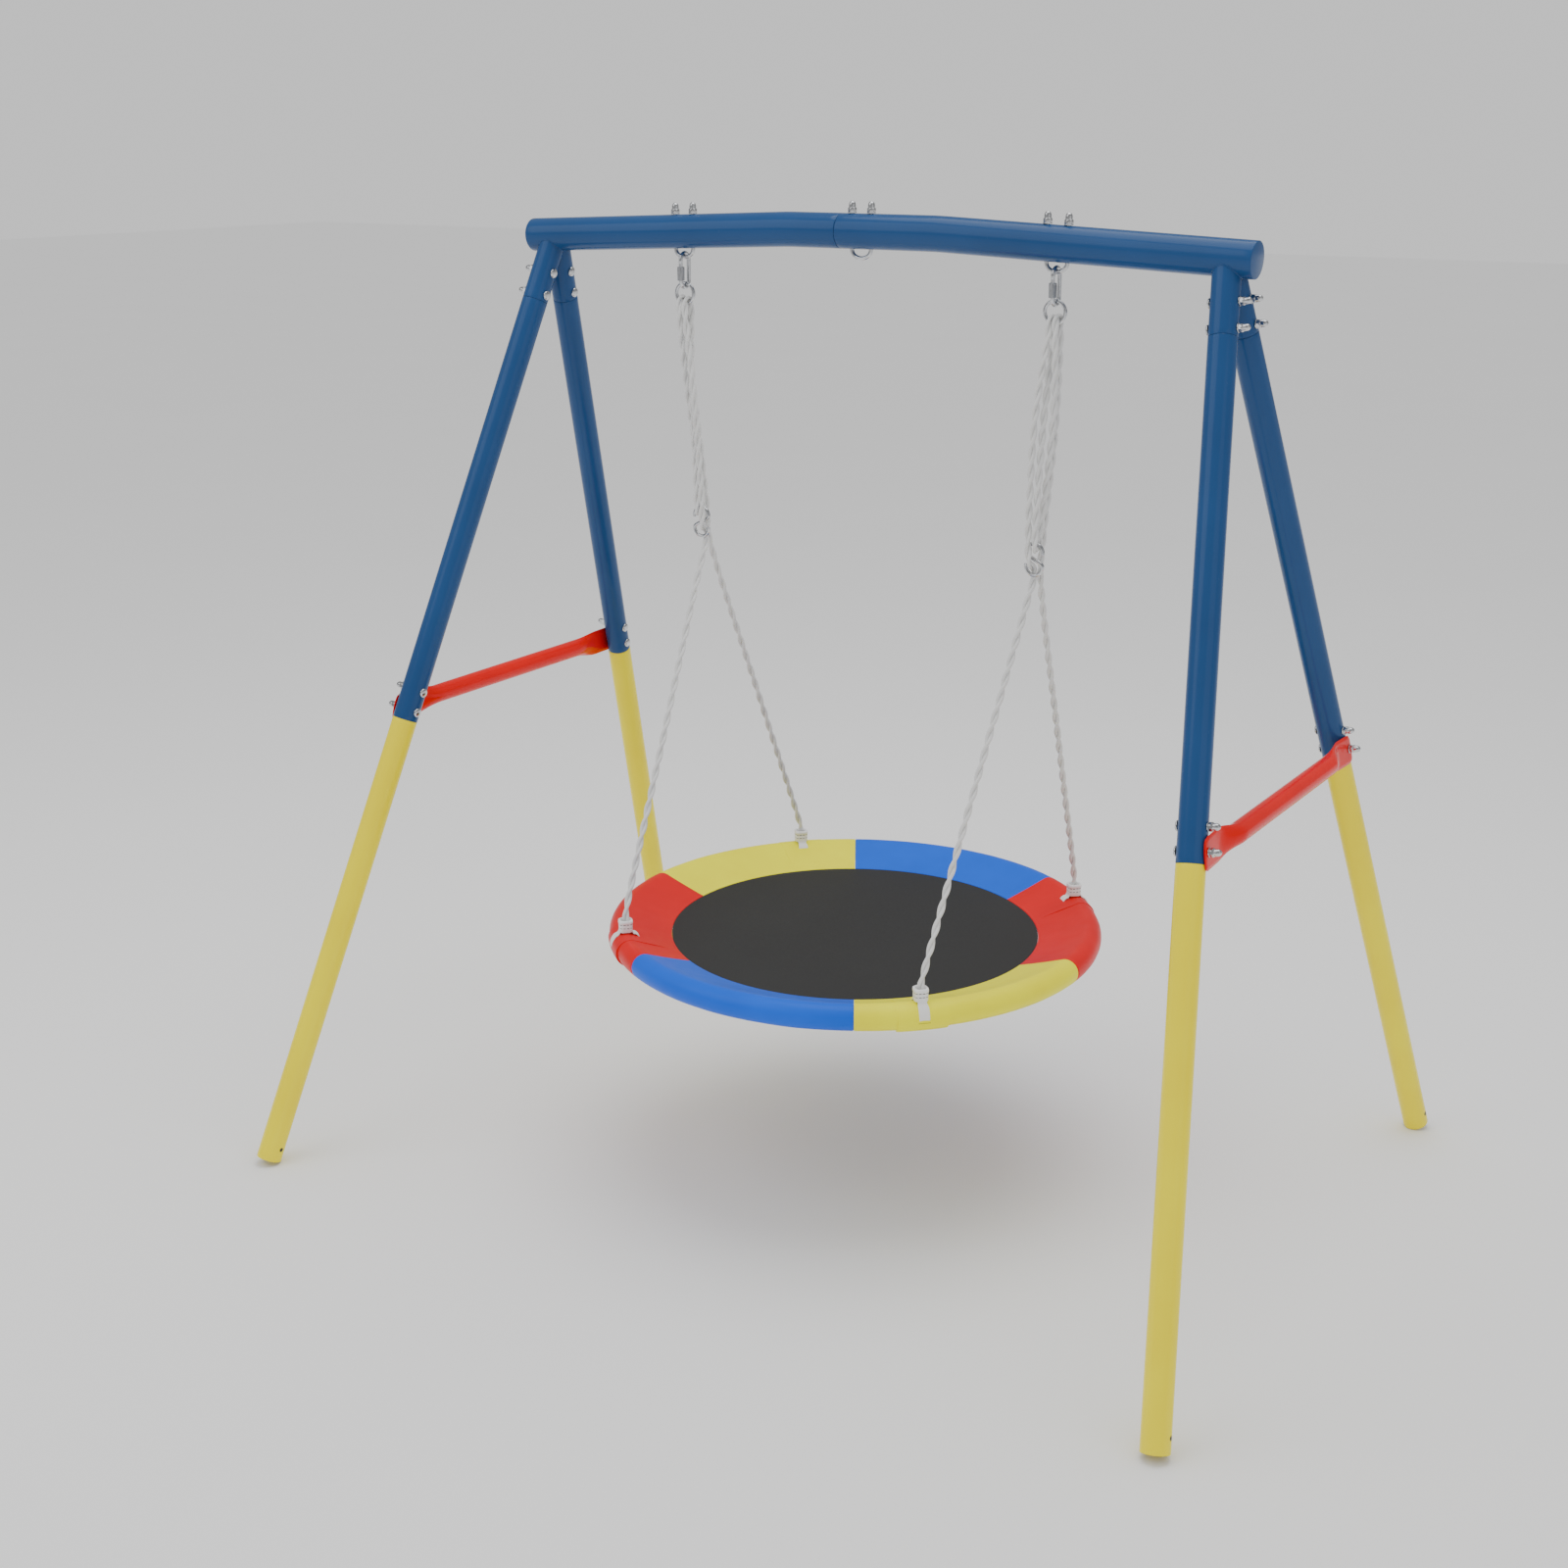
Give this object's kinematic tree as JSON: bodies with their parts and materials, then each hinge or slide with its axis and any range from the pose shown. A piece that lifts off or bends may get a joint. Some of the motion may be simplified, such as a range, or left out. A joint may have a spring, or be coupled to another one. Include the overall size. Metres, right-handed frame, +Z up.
{
  "type": "saucer swing set",
  "caption": "Round padded saucer swing on doubled ropes, hung from the level middle of a steel A-frame with drooping beam ends.",
  "frame": {"origin": "on the ground under the middle of the frame", "axes": "+Z up, +X along the crossbeam to the right, -Y to the front"},
  "size_m": [2.0164, 1.4774, 1.9247],
  "materials": {
    "frame_blue": "glossy powder coat",
    "frame_yellow": "glossy powder coat",
    "frame_red": "glossy powder coat",
    "zinc_steel": "bright zinc plate",
    "sleeve_steel": "dull zinc plate",
    "hoop_steel": "galvanised tube",
    "foam_grey": "closed-cell foam",
    "cover_red": "coated woven cloth",
    "cover_blue": "coated woven cloth",
    "cover_yellow": "coated woven cloth",
    "mat_black": "coarse plain weave",
    "rope_white": "twisted synthetic rope",
    "webbing_white": "ribbed woven webbing",
    "collar_white": "moulded, ribbed"
  },
  "bodies": {
    "frame": {"cross_brace_left": "frame_red", "cross_brace_right": "frame_red", "crossbeam_left": "frame_blue", "crossbeam_right": "frame_blue", "eye_bolt_left": "zinc_steel", "eye_bolt_right": "zinc_steel", "eye_bolt_spare": "zinc_steel", "leg_bolt_front_left_1": "zinc_steel", "leg_bolt_front_left_2": "zinc_steel", "leg_bolt_front_left_3": "zinc_steel", "leg_bolt_front_left_4": "zinc_steel", "leg_bolt_front_right_1": "zinc_steel", "leg_bolt_front_right_2": "zinc_steel", "leg_bolt_front_right_3": "zinc_steel", "leg_bolt_front_right_4": "zinc_steel", "leg_bolt_rear_left_1": "zinc_steel", "leg_bolt_rear_left_2": "zinc_steel", "leg_bolt_rear_left_3": "zinc_steel", "leg_bolt_rear_left_4": "zinc_steel", "leg_bolt_rear_right_1": "zinc_steel", "leg_bolt_rear_right_2": "zinc_steel", "leg_bolt_rear_right_3": "zinc_steel", "leg_bolt_rear_right_4": "zinc_steel", "lower_leg_front_left": "frame_yellow", "lower_leg_front_right": "frame_yellow", "lower_leg_rear_left": "frame_yellow", "lower_leg_rear_right": "frame_yellow", "upper_leg_front_left": "frame_blue", "upper_leg_front_right": "frame_blue", "upper_leg_rear_left": "frame_blue", "upper_leg_rear_right": "frame_blue"},
    "link_left": {"quick_link_left": "zinc_steel"},
    "link_right": {"quick_link_right": "zinc_steel"},
    "sleeve_left": {"link_sleeve_left": "sleeve_steel"},
    "sleeve_right": {"link_sleeve_right": "sleeve_steel"},
    "hanger_left": {"hanging_ring_left": "zinc_steel", "rope_left": "rope_white", "s_hook_left": "zinc_steel"},
    "hanger_right": {"hanging_ring_right": "zinc_steel", "rope_right": "rope_white", "s_hook_right": "zinc_steel"},
    "seat": {"cover_1_red": "cover_red", "cover_2_blue": "cover_blue", "cover_3_yellow": "cover_yellow", "cover_4_red": "cover_red", "cover_5_blue": "cover_blue", "cover_6_yellow": "cover_yellow", "foam_sleeve_1": "foam_grey", "foam_sleeve_2": "foam_grey", "hanger_strap_front_left": "webbing_white", "hanger_strap_front_right": "webbing_white", "hanger_strap_rear_left": "webbing_white", "hanger_strap_rear_right": "webbing_white", "rope_collar_front_left": "collar_white", "rope_collar_front_right": "collar_white", "rope_collar_rear_left": "collar_white", "rope_collar_rear_right": "collar_white", "seat_hoop_1": "hoop_steel", "seat_hoop_2": "hoop_steel", "seat_mat": "mat_black"}
  },
  "joints": [
    {"name": "link_left_swing", "type": "hinge", "parent": "frame", "child": "link_left", "pos_m": [-0.4, 0, 1.81048], "axis": [1, 0, 0], "range_deg": [-60, 60]},
    {"name": "link_right_swing", "type": "hinge", "parent": "frame", "child": "link_right", "pos_m": [0.4, 0, 1.81048], "axis": [1, 0, 0], "range_deg": [-60, 60]},
    {"name": "sleeve_left_screw", "type": "slide", "parent": "link_left", "child": "sleeve_left", "axis": [0, 0, 1], "range_m": [0, 0.013]},
    {"name": "sleeve_right_screw", "type": "slide", "parent": "link_right", "child": "sleeve_right", "axis": [0, 0, 1], "range_m": [0, 0.013]},
    {"name": "hanger_left_sway", "type": "hinge", "parent": "link_left", "child": "hanger_left", "pos_m": [-0.4, 0, 1.7526], "axis": [0, 1, 0], "range_deg": [-10, 10]},
    {"name": "hanger_right_sway", "type": "hinge", "parent": "link_right", "child": "hanger_right", "pos_m": [0.4, 0, 1.7526], "axis": [0, 1, 0], "range_deg": [-10, 10]},
    {"name": "seat_sway", "type": "hinge", "parent": "hanger_left", "child": "seat", "pos_m": [-0.3341, 0, 0.542], "axis": [0, 1, 0], "range_deg": [-12, 12]}
  ],
  "couplings": [
    {"joint": "link_right_swing", "follows": "link_left_swing", "ratio": 1},
    {"joint": "hanger_right_sway", "follows": "hanger_left_sway", "ratio": 1},
    {"joint": "seat_sway", "follows": "hanger_left_sway", "ratio": -1.199}
  ]
}
